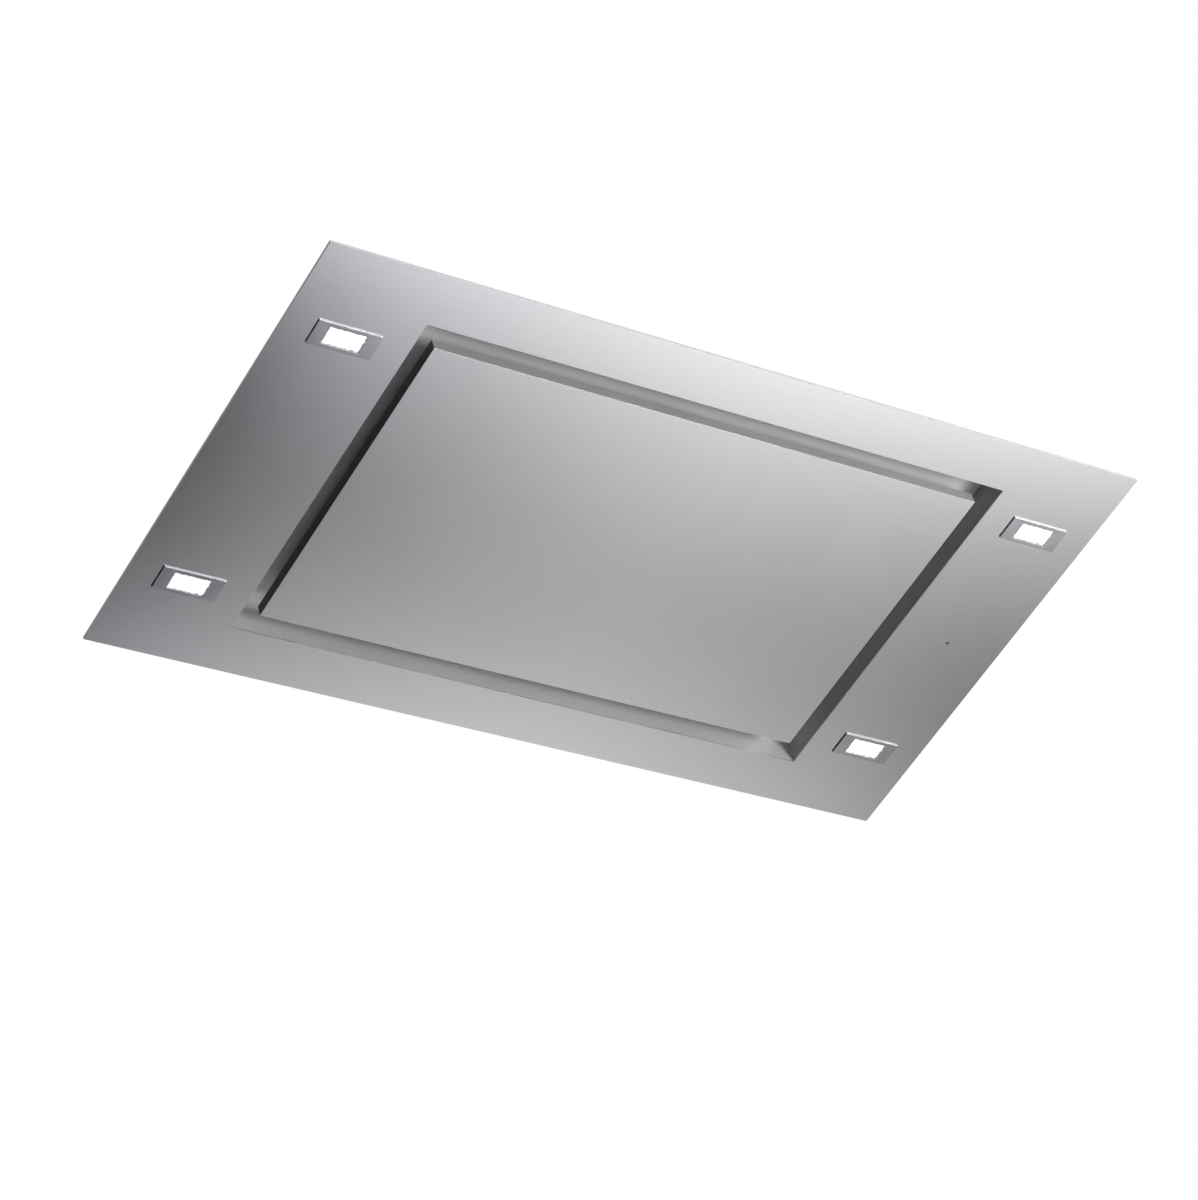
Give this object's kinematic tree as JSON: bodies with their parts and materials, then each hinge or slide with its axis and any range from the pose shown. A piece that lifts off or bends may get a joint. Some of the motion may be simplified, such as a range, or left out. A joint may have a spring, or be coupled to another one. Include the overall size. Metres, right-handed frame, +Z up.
{
  "type": "ceiling range hood",
  "caption": "Flush ceiling range hood: stainless face with rectangular lamps round a hinged suction panel, filters, blower and damper in a steel housing above.",
  "frame": {"origin": "middle of the face plate's upper flange, in the plane of the ceiling's underside", "axes": "+X along the long side towards the receiver, +Y across towards the panel's hinges, +Z up into the ceiling"},
  "size_m": [0.9, 0.5, 0.3546],
  "materials": {
    "brushed_stainless": "fine satin grain along the long side",
    "galvanised_sheet": "zinc-coated sheet, dull, faint spangle",
    "zinc_plated_steel": "bright zinc plate",
    "black_moulding": "fine mould texture",
    "grey_moulding": "fine mould texture",
    "filter_aluminium": "mill finish",
    "cast_aluminium": "cast, matt",
    "lamp_diffuser": "frosted, lit from behind",
    "receiver_red": "clear tinted lens",
    "bush_rubber": "matt",
    "circuit_board": "solder mask",
    "white_can": "smooth moulded can"
  },
  "bodies": {
    "hood": {"face_plate": "brushed_stainless", "recess_collar": "brushed_stainless", "hinge_bracket_left": "galvanised_sheet", "hinge_bracket_right": "galvanised_sheet", "hinge_pins": "zinc_plated_steel", "catch_left": "black_moulding", "catch_right": "black_moulding", "catch_magnets": "zinc_plated_steel", "filter_left_frame": "filter_aluminium", "filter_left_net": "filter_aluminium", "filter_right_frame": "filter_aluminium", "filter_right_net": "filter_aluminium", "housing_shell": "galvanised_sheet", "top_cover": "galvanised_sheet", "scroll_left": "black_moulding", "scroll_right": "black_moulding", "motor_can": "cast_aluminium", "motor_carrier": "galvanised_sheet", "motor_bushes": "bush_rubber", "duct_collar": "black_moulding", "control_box": "grey_moulding", "control_box_lid": "grey_moulding", "control_board": "circuit_board", "capacitor": "white_can", "cable_gland": "black_moulding", "lamp_1_bezel": "brushed_stainless", "lamp_2_bezel": "brushed_stainless", "lamp_3_bezel": "brushed_stainless", "lamp_4_bezel": "brushed_stainless", "lamp_1_lens": "lamp_diffuser", "lamp_2_lens": "lamp_diffuser", "lamp_3_lens": "lamp_diffuser", "lamp_4_lens": "lamp_diffuser", "lamp_1_body": "cast_aluminium", "lamp_2_body": "cast_aluminium", "lamp_3_body": "cast_aluminium", "lamp_4_body": "cast_aluminium", "lamp_clips": "zinc_plated_steel", "receiver_lens": "receiver_red", "receiver_holder": "black_moulding", "led_driver": "grey_moulding", "hanger_1": "galvanised_sheet", "hanger_2": "galvanised_sheet", "hanger_3": "galvanised_sheet", "hanger_4": "galvanised_sheet", "frame_nuts": "zinc_plated_steel", "cover_screws": "zinc_plated_steel", "scroll_screws": "zinc_plated_steel", "collar_screws": "zinc_plated_steel"},
    "suction_panel": {"panel_skin": "brushed_stainless", "panel_liner": "galvanised_sheet", "hinge_leaf_left": "galvanised_sheet", "hinge_leaf_right": "galvanised_sheet", "catch_strikes": "galvanised_sheet"},
    "blower_rotor": {"impeller": "black_moulding", "motor_shaft": "zinc_plated_steel"},
    "damper_left": {"flap_left": "grey_moulding"},
    "damper_right": {"flap_right": "grey_moulding"},
    "latch_left": {"filter_left_latch": "grey_moulding"},
    "latch_right": {"filter_right_latch": "grey_moulding"}
  },
  "joints": [
    {"name": "panel_hinge", "type": "hinge", "parent": "hood", "child": "suction_panel", "pos_m": [0, 0.165, 0.018], "axis": [1, 0, 0], "range_deg": [0, 90]},
    {"name": "blower_spin", "type": "hinge", "parent": "hood", "child": "blower_rotor", "pos_m": [0, -0.08, 0.17968], "axis": [1, 0, 0], "continuous": true},
    {"name": "damper_left_swing", "type": "hinge", "parent": "hood", "child": "damper_left", "pos_m": [-0.006, 0, 0.315], "axis": [0, 1, 0], "range_deg": [0, 80]},
    {"name": "damper_right_swing", "type": "hinge", "parent": "hood", "child": "damper_right", "pos_m": [0.006, 0, 0.315], "axis": [0, -1, 0], "range_deg": [0, 80]},
    {"name": "latch_left_slide", "type": "slide", "parent": "hood", "child": "latch_left", "axis": [0, 1, 0], "range_m": [0, 0.007], "stiffness_N_per_m": 300, "springref_m": -0.005},
    {"name": "latch_right_slide", "type": "slide", "parent": "hood", "child": "latch_right", "axis": [0, 1, 0], "range_m": [0, 0.007], "stiffness_N_per_m": 300, "springref_m": -0.005}
  ]
}
